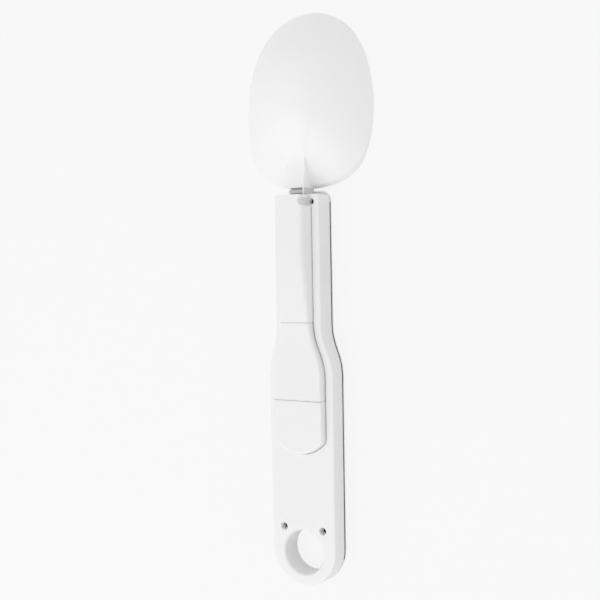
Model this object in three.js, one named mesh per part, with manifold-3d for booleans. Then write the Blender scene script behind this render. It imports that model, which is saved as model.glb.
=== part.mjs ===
import * as THREE from "three";
import { mergeVertices } from "three/addons/utils/BufferGeometryUtils.js";
import Module from "manifold-3d";

// Digital measuring spoon, lying face down. Millimetres: X across, +Y towards the bowl, +Z out of the back.

const wasm = await Module();
wasm.setup();

// Shared fits and cuts
const overrun = 1;
const runningFit = 0.2;
const doorGap = 0.12;
const plateGap = 0.05;
const shankFit = 0.05;
const partingGap = 0.4;
const weldDistance = 0.0005;

// Steps of curves and rounds
const curveSteps = 6;
const roundSteps = 36;
const smallSteps = 12;
const bowlSteps = 52;
const domeSteps = 9;
const windowSteps = 2;
const quarterTurn = Math.PI / 2;

// Bowl: an egg outline and a full dome, its rim on the table
const bowlHalfWidth = 29.75;
const heelLap = 0.2;
const bowlTip = 116;
const bowlDepth = 19.5;
const bowlWall = 1.5;
const bowlRimRound = 0.35;
const eggSkewShare = 0.08;
const eggWaistShare = 0.152;
const domePowerShare = 2.3;
const bluntHeelShare = 0.7;

// Stem: from the housing into the dome, widening as it climbs
const stemHalf = 3.65;
const stemRootHalf = 6.7;
const stemRootLength = 17.7;
const stemFlareStart = 2.7;
const stemBottom = 3.2;
const stemTop = 11.4;
const stemRootTop = 14.3;
const stemEdgeRound = 0.4;
const stemInnerLap = 1;
const stemGrooveWidth = 0.7;
const stemGrooveDepth = 1.8;
const stemGrooveLowDrop = 0.95;
const stemGrooveHighRise = 0.55;
const stemBandDepth = 1;
const stemSideDepthShare = 0.5;

// Housing outline, seen from the back
const housingTop = 43.5;
const housingEnd = -116;
const neckCorner = 4;
const flareStart = -10.5;
const flareEnd = -30.5;
const flareReachShare = 0.42;
const tailTaper = 0.2;

// Housing heights
const frontRim = 2.4;
const frontRound = 2.3;
const frontWall = 1.8;
const neckShoulder = 11.4;
const gripShoulder = 10.1;
const backRound = 0.7;
const sideDraft = 0.35;
const rearWall = 1.6;
const deckDrop = 2;
const lipHeight = 1.5;
const lipThickness = 1;

// Raised back: load cell cover, middle plate and battery cover cut from one form
const neckShoulderWidth = 3.75;
const gripShoulderWidth = 4;
const raisedEndGap = 1.8;
const raisedCorner = 2.6;
const coverPlay = 1.2;
const doorMargin = 1;
const crestNeck = 18;
const crestKnee = 13.9;
const crestEnd = 12.9;
const crestFallY = 17;
const crestKneeY = -17;
const neckCrestRound = 2.2;
const gripCrestRound = 0.7;
const endCrestRound = 0.4;
const raisedDraft = 0.15;
const neckCoverWall = 1.3;
const gripCoverWall = 0.8;
const coverRoof = 1.5;
const endWall = 1.2;
const seamUpperLead = 1.4;
const seamLowerMargin = 0.5;
const doorShoulder = 6.6;
const doorCorner = 1.2;
const doorEndMargin = 1.2;
const doorArcMargin = 4.1;
const doorCornerShare = 0.35;
const grooveWidth = 0.5;
const doorEndGrooveWidth = 0.25;
const neckBed = 10.8;
const gripBed = 9.1;

// Snap pins and pegs under the covers
const pinRadius = 0.5;
const pinDepth = 0.8;
const pegRadius = 1.2;
const pegEdge = 3.7;
const pegY = -29;
const doorPinInset = 2.6;
const doorPinDrop = 0.3;
const spinePinUpperY = 14;
const spinePinInset = 4.1;

// Hanging hole
const holeDrop = 1.3;
const holeRadius = 9.05;
const holeWall = 1.5;
const holeEdge = 0.45;

// Housing screws, two beside the raised back and two above the hole
const neckHeadRadius = 1.2;
const tailHeadRadius = 1.6;
const screwHeadHeight = 0.9;
const screwShankRadius = 0.85;
const screwSlotWidth = 0.4;
const screwSlotDepth = 0.45;
const screwSlotShare = 0.72;
const screwBite = 4.2;
const seatThickness = 1.2;
const wellWall = 0.8;
const upperScrewEdge = 4.05;
const upperScrewInset = 2.8;
const upperRecessRadius = 2;
const upperRecessWall = 0.5;
const upperWellRadius = 1.4;
const upperSeat = 7.3;
const upperPostRadius = 1.6;
const lowerScrewEdge = 6.1;
const lowerScrewRise = 9.7;
const lowerWellRadius = 1.8;
const lowerSeat = 6;
const lowerPostRadius = 2;

// Neck opening and load cell
const neckPlay = 0.75;
const neckOpeningBottom = 2.6;
const cellHalfWidth = 3.8;
const cellBottom = 7.8;
const cellHeight = 5.5;
const cellNear = 0;
const cellEndInset = 5.5;
const cellSidePlay = 0.7;
const flexureRadius = 1.9;
const flexureHalfSpan = 3.6;
const flexureSlot = 1.4;
const cellScrewRadius = 1;
const cellScrewHeadRadius = 1.7;
const cellScrewHeadHeight = 1;
const cellScrewBite = 4;
const cellNearScrewY = 2.5;
const cellNearScrewPitch = 4.8;
const cellFarScrewInset = 7.3;
const cellFarScrewPitch = 4.8;
const pedestalLength = 9.6;
const tongueHalf = 3.7;
const tongueMargin = 2.5;
const tongueBottom = 3.6;
const counterboreDepth = 1.3;
const coatHeight = 0.5;
const coatHalfWidth = 2.2;
const coatLength = 8;

// Flat ribbon from the gauges to the circuit board
const ribbonWidth = 1.6;
const ribbonThickness = 0.3;
const ribbonX = 2.8;
const ribbonEndInset = 3.5;
const ribbonBendY = -1;
const ribbonDropY = -9;
const ribbonEaseShare = 0.7;
const ribbonSteps = 8;

// Display, behind a window in the front
const windowHalfWidth = 10;
const windowNearY = -26;
const windowFarY = -56;
const windowCorner = 2;
const windowCornerShare = 0.6;
const lensInset = 0.3;
const lensThickness = 1;
const windowLedge = 2;
const lcdThickness = 2;
const lcdHalfWidth = 9;
const lcdMargin = 1;
const zebraWidth = 1.6;
const zebraHeight = 1.2;
const frameRib = 1;
const frameRibHeight = 2.6;

// Circuit board
const boardThickness = 1;
const boardPlay = 0.8;
const boardTaper = 3.2;
const boardNearMargin = 5;
const boardTaperLength = 12;
const boardFarMargin = 3.5;
const boardScrewEdge = 2.2;
const boardScrewDrop = 1.5;
const boardPostRadius = 1.8;
const boardScrewRadius = 0.7;
const boardScrewHeadRadius = 1.4;
const boardScrewHeadHeight = 0.8;
const boardPinEdge = 1.8;
const boardPinInset = 2;
const boardPinRadius = 1.2;
const blobRadius = 3.6;
const blobHeight = 1.1;
const blobInset = 12;
const blobWaistShare = 0.75;

// Buttons in a row below the display
const buttonRadius = 3.3;
const buttonFlange = 0.8;
const buttonFlangeThickness = 0.8;
const buttonInset = 0.4;
const buttonDish = 0.25;
const buttonDishShare = 0.8;
const buttonTravel = 0.3;
const firstButtonDrop = 8.5;
const buttonPitch = 9;
const switchHalf = 2.25;
const switchHeight = 1.5;
const plungerRadius = 1;

// Battery bay: a coin cell in a round cup under the battery cover
const coinRadius = 10;
const coinHeight = 3.2;
const coinCapRadius = 8.8;
const coinCapStep = 0.35;
const coinEdge = 0.3;
const bayY = -50.9;
const bayFloor = 7.2;
const bayFloorThickness = 0.8;
const bayWall = 1.2;
const contactThickness = 0.25;
const contactHalfWidth = 2.4;
const contactSlotHalf = 2.7;
const sideContactGap = 0.35;
const sideContactTop = 9;
const contactPocketDepth = 0.75;
const baseContactHalfLength = 4.5;
const baseContactLegY = 4;

// Stiffening ribs across the tail
const ribThickness = 1;
const ribDepth = 1.2;
const firstRibInset = 16;
const ribPitch = 8;
const ribCount = 2;

// Heights that follow from the ones above
const rearRim = frontRim + partingGap;
const boardBottom = frontWall + lcdThickness + zebraHeight;
const boardTop = boardBottom + boardThickness;
const cellTop = cellBottom + cellHeight;
const gripDeck = gripShoulder - deckDrop;
const neckDeck = neckShoulder - deckDrop;
const frontRoot = frontWall / 2;

// Bowl and load cell, measured from the housing's end
const bowlHeel = housingTop - heelLap;
const bowlMid = (bowlTip + bowlHeel) / 2;
const bowlHalfLength = (bowlTip - bowlHeel) / 2;
const cellFar = housingTop - cellEndInset;
const cellFarScrewY = cellFar - cellFarScrewInset;
const tongueNear = cellFarScrewY - tongueMargin;
const flexureMiddle = (cellNear + cellFar) / 2;
const flexureNearY = flexureMiddle - flexureHalfSpan;
const flexureFarY = flexureMiddle + flexureHalfSpan;
const stemFlareY = bowlHeel + stemFlareStart;
const stemRootY = bowlHeel + stemRootLength;
const stemInnerY = cellFar + stemInnerLap;
const stemGrooveLowY = bowlHeel - stemGrooveLowDrop;
const stemGrooveHighY = bowlHeel + stemGrooveHighRise;

// Outlines that follow from the load cell and the coin cell
const bayRadius = coinRadius + runningFit;
const raisedNeckHalf = cellHalfWidth + cellSidePlay + neckCoverWall + coverPlay;
const raisedGripHalf = bayRadius + doorMargin;
const neckHalf = raisedNeckHalf + neckShoulderWidth;
const gripHalf = raisedGripHalf + gripShoulderWidth;
const tailHalf = gripHalf - tailTaper;
const tailCentre = housingEnd + tailHalf;
const doorArcRadius = bayRadius + doorArcMargin;
const doorEnd = bayY - coinRadius - doorEndMargin;
const seamLower = bayY + coinRadius + seamLowerMargin;

// Places that follow from the ones above
const raisedTop = housingTop - raisedEndGap;
const seamUpper = flareStart + seamUpperLead;
const doorSide = doorEnd + doorShoulder;
const doorPinHalfSpan = raisedGripHalf - gripCoverWall;
const doorPinUpperY = seamLower - doorPinInset;
const doorPinLowerY = doorSide - doorPinDrop;
const spinePinHalfSpan = raisedNeckHalf - neckCoverWall / 2;
const spinePinLowerY = seamUpper + spinePinInset;
const pegHalfSpan = raisedGripHalf - pegEdge;
const holeY = tailCentre - holeDrop;
const upperScrewHalfSpan = neckHalf - upperScrewEdge;
const upperScrewY = raisedTop - upperScrewInset;
const lowerScrewHalfSpan = gripHalf - lowerScrewEdge;
const lowerScrewY = holeY + lowerScrewRise;
const boardHalf = gripHalf - rearWall - runningFit - lipThickness - boardPlay;
const boardNearHalf = boardHalf - boardTaper;
const boardNearY = windowNearY + boardNearMargin;
const boardShoulderY = boardNearY - boardTaperLength;
const boardScrewHalfSpan = boardHalf - boardScrewEdge;
const boardPinHalfSpan = boardNearHalf - boardPinEdge;
const boardPinY = boardNearY - boardPinInset;
const blobY = boardNearY - blobInset;
const ribbonNearY = boardNearY - ribbonEndInset;
const firstButtonY = windowFarY - firstButtonDrop;
const boardScrewY = firstButtonY - boardScrewDrop;
const boardFarY = firstButtonY - 2 * buttonPitch - boardFarMargin;
const firstRibY = boardFarY + firstRibInset;

const white = { color: 0xf4f4f2, roughness: 0.42, metalness: 0 };
const whiteGloss = { color: 0xf6f6f4, roughness: 0.3, metalness: 0 };
const steel = { color: 0xb9bcc0, roughness: 0.35, metalness: 1 };
const blackSteel = { color: 0x1c1c1e, roughness: 0.5, metalness: 1 };
const aluminium = { color: 0xc9ccd0, roughness: 0.4, metalness: 1 };
const board = { color: 0x1f6b3f, roughness: 0.55, metalness: 0 };
const epoxy = { color: 0x141414, roughness: 0.4, metalness: 0 };
const lensTint = { color: 0xd9dfe0, roughness: 0.08, metalness: 0 };
const lcdGlass = { color: 0x9aa694, roughness: 0.2, metalness: 0 };
const greyRubber = { color: 0x4c4f52, roughness: 0.8, metalness: 0 };
const siliconeCoat = { color: 0xe6e4dc, roughness: 0.6, metalness: 0 };

const spoon = new THREE.Group();

// A closed geometry as a solid, with shared points merged and collapsed faces dropped.
function solidOf(geometry) {
  const bare = geometry.clone();
  bare.deleteAttribute("normal");
  bare.deleteAttribute("uv");
  const merged = mergeVertices(bare, weldDistance);
  const corners = merged.index.array;
  const kept = [];
  for (let i = 0; i < corners.length; i += 3) {
    const [a, b, c] = [corners[i], corners[i + 1], corners[i + 2]];
    if (a !== b && b !== c && c !== a) kept.push(a, b, c);
  }
  return new wasm.Manifold(
    new wasm.Mesh({
      numProp: 3,
      vertProperties: merged.attributes.position.array,
      triVerts: new Uint32Array(kept),
    }),
  );
}

// A solid as a named mesh of the spoon.
function addPiece(name, solid, finish) {
  const { vertProperties, triVerts } = solid.getMesh();
  const geometry = new THREE.BufferGeometry();
  geometry.setAttribute("position", new THREE.BufferAttribute(vertProperties, 3));
  geometry.setIndex(new THREE.BufferAttribute(triVerts, 1));
  geometry.computeVertexNormals();
  const mesh = new THREE.Mesh(geometry, new THREE.MeshStandardMaterial(finish));
  mesh.name = name;
  spoon.add(mesh);
}

const joined = (solids) => solids.reduce((all, next) => all.add(next));
const cutFrom = (solid, cuts) => cuts.reduce((left, cut) => left.subtract(cut), solid);
const bothSides = (make) => [make(1), make(-1)];

function block(x0, x1, y0, y1, z0, z1) {
  const box = new THREE.BoxGeometry(x1 - x0, y1 - y0, z1 - z0);
  box.translate((x0 + x1) / 2, (y0 + y1) / 2, (z0 + z1) / 2);
  return solidOf(box);
}

function disc(radius, z0, z1, x, y, steps = smallSteps) {
  const cylinder = new THREE.CylinderGeometry(radius, radius, z1 - z0, steps);
  cylinder.rotateX(quarterTurn);
  cylinder.translate(x, y, (z0 + z1) / 2);
  return solidOf(cylinder);
}

// A round body about an upright axis from its profile of radius and height.
function turned(profile, x, y, steps = smallSteps) {
  const lathe = new THREE.LatheGeometry(
    profile.map(([radius, z]) => new THREE.Vector2(radius, z)),
    steps,
  );
  lathe.rotateX(quarterTurn);
  lathe.translate(x, y, 0);
  return solidOf(lathe);
}

// The right half of an outline moved inwards along its normals; its two ends stay on the middle plane.
function insetHalf(half, insetAt) {
  return half.map((point, i) => {
    const before = half[Math.max(i - 1, 0)];
    const after = half[Math.min(i + 1, half.length - 1)];
    const back = new THREE.Vector2(point.y - before.y, before.x - point.x);
    const ahead = new THREE.Vector2(after.y - point.y, point.x - after.x);
    if (i === 0) back.set(-ahead.x, ahead.y);
    if (i === half.length - 1) ahead.set(-back.x, back.y);
    const normal = back.normalize().add(ahead.normalize());
    const inset = insetAt(point.y);
    const stretch = (2 * inset) / normal.lengthSq();
    return new THREE.Vector2(point.x + normal.x * stretch, point.y + normal.y * stretch);
  });
}

// A closed body from a mirrored outline. Each level has an inset and a height, given alone or as a
// function of Y.
function stack(half, levels) {
  const asFunction = (value) => (typeof value === "function" ? value : () => value);
  const positions = [];
  const ring = 2 * half.length - 2;
  for (const [inset, height] of levels) {
    const right = insetHalf(half, asFunction(inset));
    const left = right.slice(1, -1).reverse();
    const heights = half.map((point) => asFunction(height)(point.y));
    const leftHeights = heights.slice(1, -1).reverse();
    right.forEach((point, i) => positions.push(point.x, point.y, heights[i]));
    left.forEach((point, i) => positions.push(-point.x, point.y, leftHeights[i]));
  }
  const corners = [];
  for (let level = 0; level + 1 < levels.length; level++) {
    for (let i = 0; i < ring; i++) {
      const [a, b] = [level * ring + i, level * ring + ((i + 1) % ring)];
      corners.push(a, b + ring, b, a, a + ring, b + ring);
    }
  }
  const topRing = (levels.length - 1) * ring;
  const mirrored = (i) => (ring - i) % ring;
  for (let i = 0; i + 1 < half.length; i++) {
    const [r, s, l, m] = [i, i + 1, mirrored(i), mirrored(i + 1)];
    corners.push(topRing + r, topRing + l, topRing + m, topRing + r, topRing + m, topRing + s);
    corners.push(r, m, l, r, s, m);
  }
  const geometry = new THREE.BufferGeometry();
  geometry.setAttribute("position", new THREE.Float32BufferAttribute(positions, 3));
  geometry.setIndex(corners);
  return solidOf(geometry);
}

// Path points with straight runs left as single steps.
const outlineOf = (path) => path.getPoints(curveSteps);

function housingHalf() {
  const path = new THREE.Path();
  const reach = (flareStart - flareEnd) * flareReachShare;
  path.moveTo(0, housingTop);
  path.lineTo(neckHalf - neckCorner, housingTop);
  path.absarc(neckHalf - neckCorner, housingTop - neckCorner, neckCorner, quarterTurn, 0, true);
  path.lineTo(neckHalf, flareStart);
  path.bezierCurveTo(neckHalf, flareStart - reach, gripHalf, flareEnd + reach, gripHalf, flareEnd);
  path.lineTo(tailHalf, tailCentre);
  path.absarc(0, tailCentre, tailHalf, 0, -quarterTurn, true);
  return withoutRepeats(outlineOf(path));
}

function raisedHalf() {
  const path = new THREE.Path();
  const reach = (flareStart - flareEnd) * flareReachShare;
  const arcCentre = doorEnd + doorArcRadius;
  const arcX = raisedGripHalf - doorCorner;
  const arcAngle = -Math.acos(arcX / doorArcRadius);
  const cornerEnd = arcCentre + doorArcRadius * Math.sin(arcAngle);
  path.moveTo(0, raisedTop);
  path.lineTo(raisedNeckHalf - raisedCorner, raisedTop);
  path.absarc(raisedNeckHalf - raisedCorner, raisedTop - raisedCorner, raisedCorner, quarterTurn, 0, true);
  path.lineTo(raisedNeckHalf, crestFallY);
  path.lineTo(raisedNeckHalf, flareStart);
  path.bezierCurveTo(
    raisedNeckHalf, flareStart - reach,
    raisedGripHalf, flareEnd + reach,
    raisedGripHalf, flareEnd,
  );
  path.lineTo(raisedGripHalf, doorSide);
  path.quadraticCurveTo(raisedGripHalf, cornerEnd + doorCorner * doorCornerShare, arcX, cornerEnd);
  path.absarc(0, arcCentre, doorArcRadius, arcAngle, -quarterTurn, true);
  return withoutRepeats(outlineOf(path));
}

function withoutRepeats(points) {
  const kept = points.filter((point, i) => i === 0 || point.distanceTo(points[i - 1]) > weldDistance);
  kept[kept.length - 1].x = 0;
  return kept;
}

// Height of the shoulder beside the raised back.
function shoulderAt(y) {
  return THREE.MathUtils.mapLinear(
    THREE.MathUtils.clamp(y, flareEnd, flareStart),
    flareEnd,
    flareStart,
    gripShoulder,
    neckShoulder,
  );
}

// How far up the slope of the raised back a place is: 0 at its knee, 1 where it is level.
const slopeAt = (y) => THREE.MathUtils.clamp((y - crestKneeY) / (crestFallY - crestKneeY), 0, 1);
const between = (low, high) => (y) => THREE.MathUtils.lerp(low, high, slopeAt(y));

function crestAt(y) {
  if (y > crestKneeY) return between(crestKnee, crestNeck)(y);
  return THREE.MathUtils.mapLinear(y, doorEnd, crestKneeY, crestEnd, crestKnee);
}

// Levels that round off the upper edge of a stack.
function roundedEdge(draft, roundAt, topAt) {
  return [0, 1, 2, 3].map((step) => {
    const angle = (step / 3) * quarterTurn;
    return [
      (y) => draft + roundAt(y) * (1 - Math.cos(angle)),
      (y) => topAt(y) - roundAt(y) * (1 - Math.sin(angle)),
    ];
  });
}

const housing = housingHalf();
const raised = raisedHalf();

// Points of the dome from its rim to its crown, as radius share and height.
function domeProfile(radiusShare, low, high) {
  return Array.from({ length: domeSteps + 1 }, (_, i) => {
    const reachShare = Math.cos((i / domeSteps) * quarterTurn);
    const heightShare = 1 - reachShare ** domePowerShare;
    return [i === domeSteps ? 0 : reachShare * radiusShare, low + (high - low) * heightShare];
  });
}

// A unit round profile stretched to the bowl's egg outline, fuller towards the heel.
function eggShaped(profile) {
  const lathe = new THREE.LatheGeometry(
    profile.map(([radius, z]) => new THREE.Vector2(radius, z)),
    bowlSteps,
  );
  lathe.rotateX(quarterTurn);
  const places = lathe.attributes.position;
  for (let i = 0; i < places.count; i++) {
    const [x, y] = [places.getX(i), places.getY(i)];
    const reachShare = Math.max(Math.hypot(x, y), Number.EPSILON);
    const sine = y / reachShare;
    const widthShare = 1 - eggSkewShare * sine + eggWaistShare * sine * sine;
    const bluntShare = (bluntHeelShare - 1) * Math.min(sine, 0) ** 2;
    const spreadShare = reachShare ** bluntShare;
    places.setXY(i, x * spreadShare * bowlHalfWidth * widthShare, bowlMid + y * spreadShare * bowlHalfLength);
  }
  return solidOf(lathe);
}

function stemSolid() {
  const path = new THREE.Path();
  path.moveTo(0, stemRootY);
  path.lineTo(stemRootHalf, stemRootY);
  path.bezierCurveTo(stemHalf, stemFlareY, stemHalf, stemFlareY, stemHalf, stemFlareY);
  path.lineTo(stemHalf, stemInnerY);
  path.lineTo(0, stemInnerY);
  const topAt = (y) => THREE.MathUtils.mapLinear(
    Math.max(y, stemFlareY),
    stemFlareY, stemRootY,
    stemTop, stemRootTop,
  );
  const half = withoutRepeats(outlineOf(path));
  return stack(half, [[0, stemBottom], ...roundedEdge(0, () => stemEdgeRound, topAt)]);
}

// What a groove round the top and sides of the stem takes away.
function stemCollar(y0, y1, depth) {
  const kept = stemHalf - depth * stemSideDepthShare;
  const around = block(-neckHalf, neckHalf, y0, y1, stemBottom - overrun, stemTop + overrun);
  return around.subtract(block(-kept, kept, y0, y1, stemBottom - overrun, stemTop - depth));
}

function bowlPiece() {
  const wallShare = bowlWall / bowlHalfWidth;
  const rimShare = bowlRimRound / bowlHalfWidth;
  const inner = domeProfile(1 - wallShare, bowlRimRound, bowlDepth - bowlWall);
  const outer = domeProfile(1, bowlRimRound, bowlDepth);
  const shell = eggShaped([
    ...inner.toReversed(),
    [1 - wallShare + rimShare, 0],
    [1 - rimShare, 0],
    ...outer,
  ]);
  const hollow = eggShaped([[0, -overrun], [1 - wallShare, -overrun], ...inner]);
  const stem = cutFrom(stemSolid(), [
    hollow,
    stemCollar(stemGrooveLowY, stemGrooveLowY + stemGrooveWidth, stemGrooveDepth),
    stemCollar(stemGrooveHighY, stemGrooveHighY + stemGrooveWidth, stemGrooveDepth),
    stemCollar(stemGrooveLowY, stemGrooveHighY, stemBandDepth),
  ]);
  const tongue = joined([
    block(-tongueHalf, tongueHalf, tongueNear, stemInnerY + overrun, tongueBottom, cellBottom),
    stem,
  ]);
  const screwCuts = farScrewPlaces().flatMap((y) => [
    disc(cellScrewRadius + shankFit, tongueBottom - overrun, cellBottom + overrun, 0, y),
    disc(cellScrewHeadRadius + runningFit, tongueBottom - overrun, tongueBottom + counterboreDepth, 0, y),
  ]);
  addPiece("spoon_bowl", cutFrom(shell.add(tongue), screwCuts), whiteGloss);
}

const farScrewPlaces = () => [cellFarScrewY, cellFarScrewY + cellFarScrewPitch];
const nearScrewPlaces = () => [cellNearScrewY, cellNearScrewY + cellNearScrewPitch];

// A screw with a cross in its head; point is 1 with the shank downwards and -1 with it upwards.
function screw(x, y, seat, point, bite, shankRadius, headRadius, headHeight) {
  const headTop = seat + point * headHeight;
  const [low, high] = [Math.min(seat, headTop), Math.max(seat, headTop)];
  const shankEnd = seat - point * bite;
  const head = disc(headRadius, low, high, x, y);
  const shankRoot = seat + point * (headHeight - screwSlotDepth) / 2;
  const shank = disc(shankRadius, Math.min(shankRoot, shankEnd), Math.max(shankRoot, shankEnd), x, y);
  const arm = headRadius * screwSlotShare;
  const slotEdge = headTop - point * screwSlotDepth;
  const slotEnd = headTop + point * overrun;
  const [slotLow, slotHigh] = [Math.min(slotEdge, slotEnd), Math.max(slotEdge, slotEnd)];
  const slot = (halfX, halfY) => block(x - halfX, x + halfX, y - halfY, y + halfY, slotLow, slotHigh);
  const slots = [slot(arm, screwSlotWidth / 2), slot(screwSlotWidth / 2, arm)];
  return cutFrom(head.add(shank), slots);
}

function loadCell() {
  const drilled = (x, y) => disc(x, cellBottom - overrun, cellTop + overrun, 0, y);
  const middle = (cellBottom + cellTop) / 2;
  const crossHole = (y) => {
    const length = 2 * (cellHalfWidth + overrun);
    const cylinder = new THREE.CylinderGeometry(flexureRadius, flexureRadius, length, smallSteps);
    cylinder.rotateZ(quarterTurn);
    cylinder.translate(0, y, middle);
    return solidOf(cylinder);
  };
  const slot = block(
    -cellHalfWidth - overrun, cellHalfWidth + overrun,
    flexureNearY, flexureFarY,
    middle - flexureSlot / 2, middle + flexureSlot / 2,
  );
  const bar = block(-cellHalfWidth, cellHalfWidth, cellNear, cellFar, cellBottom, cellTop);
  const screwPlaces = [...farScrewPlaces(), ...nearScrewPlaces()];
  const drilledHoles = screwPlaces.map((y) => drilled(cellScrewRadius + shankFit, y));
  const flexureHoles = [crossHole(flexureNearY), crossHole(flexureFarY)];
  addPiece("load_cell", cutFrom(bar, [...flexureHoles, slot, ...drilledHoles]), aluminium);
  const coat = block(
    -coatHalfWidth, ribbonX + ribbonWidth / 2,
    flexureMiddle - coatLength / 2, flexureMiddle + coatLength / 2,
    cellTop, cellTop + coatHeight,
  );
  addPiece("gauge_coat", coat, siliconeCoat);
  nearScrewPlaces().forEach((y, i) => {
    addPiece(`cell_screw_${i + 1}`, cellScrew(y, cellTop, 1, cellHeight + cellScrewBite), steel);
  });
  farScrewPlaces().forEach((y, i) => {
    const bite = cellTop - tongueBottom - counterboreDepth - cellScrewHeadHeight;
    addPiece(`bowl_screw_${i + 1}`, cellScrew(y, tongueBottom + counterboreDepth, -1, bite), steel);
  });
}

const cellScrew = (y, seat, point, bite) =>
  screw(0, y, seat, point, bite, cellScrewRadius, cellScrewHeadRadius, cellScrewHeadHeight);

// The ribbon leaves the gauges, passes beside the near screws and drops to the board.
function ribbon() {
  const start = flexureMiddle - coatLength / 2;
  const high = cellTop + coatHeight - ribbonThickness / 2;
  const low = boardTop + ribbonThickness / 2;
  const at = (y, z) => new THREE.Vector3(ribbonX, y, z);
  const easedY = (share) => THREE.MathUtils.lerp(ribbonBendY, ribbonDropY, share);
  const drop = new THREE.CubicBezierCurve3(
    at(ribbonBendY, high),
    at(easedY(ribbonEaseShare), high),
    at(easedY(1 - ribbonEaseShare), low),
    at(ribbonDropY, low),
  );
  const places = [at(start, high), ...drop.getPoints(ribbonSteps), at(ribbonNearY, low)];
  return solidOf(sweptAlongYZ(places, ribbonWidth, ribbonThickness));
}

// A flat strip swept along points in one upright plane.
function sweptAlongYZ(places, width, thickness) {
  const profile = new THREE.Shape();
  const normals = places.map((_, i) => {
    const before = places[Math.max(i - 1, 0)];
    const after = places[Math.min(i + 1, places.length - 1)];
    return new THREE.Vector2(before.z - after.z, after.y - before.y).normalize();
  });
  const side = (sign) => places.map((place, i) => new THREE.Vector2(
    place.y + (sign * normals[i].x * thickness) / 2,
    place.z + (sign * normals[i].y * thickness) / 2,
  ));
  profile.setFromPoints([...side(1), ...side(-1).reverse()]);
  const strip = new THREE.ExtrudeGeometry(profile, { depth: width, bevelEnabled: false });
  strip.rotateY(quarterTurn);
  strip.rotateX(quarterTurn);
  strip.translate(places[0].x - width / 2, 0, 0);
  return strip;
}

// The edge-broken cutter of the hanging hole.
function holeCutter() {
  const edgeRadius = holeRadius + holeEdge;
  return turned(
    [
      [0, -overrun],
      [edgeRadius, -overrun],
      [edgeRadius, 0],
      [holeRadius, holeEdge],
      [holeRadius, gripShoulder - holeEdge],
      [edgeRadius, gripShoulder],
      [edgeRadius, gripShoulder + overrun],
      [0, gripShoulder + overrun],
    ],
    0, holeY, roundSteps,
  );
}

// Upright cylinders in pairs, mirrored across the handle.
const discPairs = (halfSpan, places) => (radius, z0, z1) =>
  places.flatMap((y) => bothSides((side) => disc(radius, z0, z1, side * halfSpan, y)));
const upperScrewHole = discPairs(upperScrewHalfSpan, [upperScrewY]);
const lowerScrewHole = discPairs(lowerScrewHalfSpan, [lowerScrewY]);
const doorPins = discPairs(doorPinHalfSpan, [doorPinUpperY, doorPinLowerY]);
const spinePins = discPairs(spinePinHalfSpan, [spinePinUpperY, spinePinLowerY]);
const platePegs = discPairs(pegHalfSpan, [pegY]);

const neckOpening = () => block(
  -stemHalf - neckPlay, stemHalf + neckPlay,
  raisedTop - endWall - overrun, housingTop + overrun,
  neckOpeningBottom, stemTop + neckPlay,
);

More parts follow.
